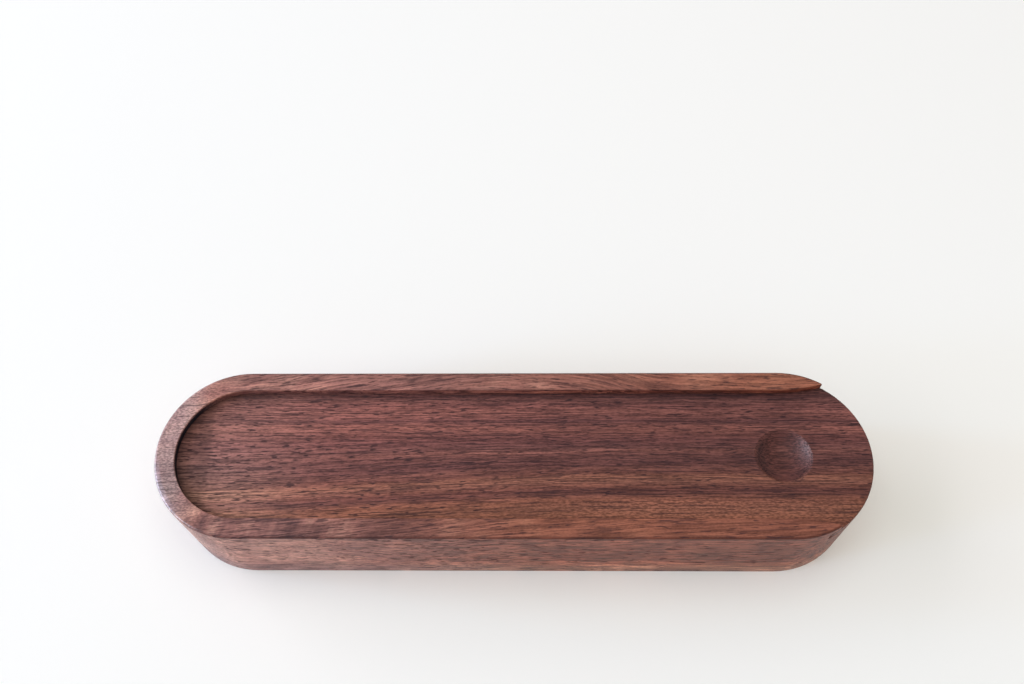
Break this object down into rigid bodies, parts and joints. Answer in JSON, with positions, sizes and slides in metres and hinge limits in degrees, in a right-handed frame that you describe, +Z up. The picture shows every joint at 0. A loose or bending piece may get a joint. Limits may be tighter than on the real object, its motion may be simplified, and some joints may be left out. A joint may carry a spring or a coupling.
{
  "type": "pen tray",
  "caption": "Slim walnut pen tray with round ends, carved from solid wood, and a recessed lid that slides in under its raised rim, with a thumb dish.",
  "frame": {"origin": "centre of the flat base, on the surface that the tray stands on", "axes": "+X along the tray, towards the open end where the lid slides out; +Z up"},
  "size_m": [0.23, 0.0566, 0.037],
  "materials": {
    "body_walnut": "oiled walnut, matt to satin",
    "lid_walnut": "oiled walnut, matt to satin"
  },
  "bodies": {
    "tray": {"tray_body": "body_walnut"},
    "lid": {"sliding_lid": "lid_walnut"}
  },
  "joints": [
    {"name": "lid_slide", "type": "slide", "parent": "tray", "child": "lid", "axis": [1, 0, 0], "range_m": [0, 0.23]}
  ]
}
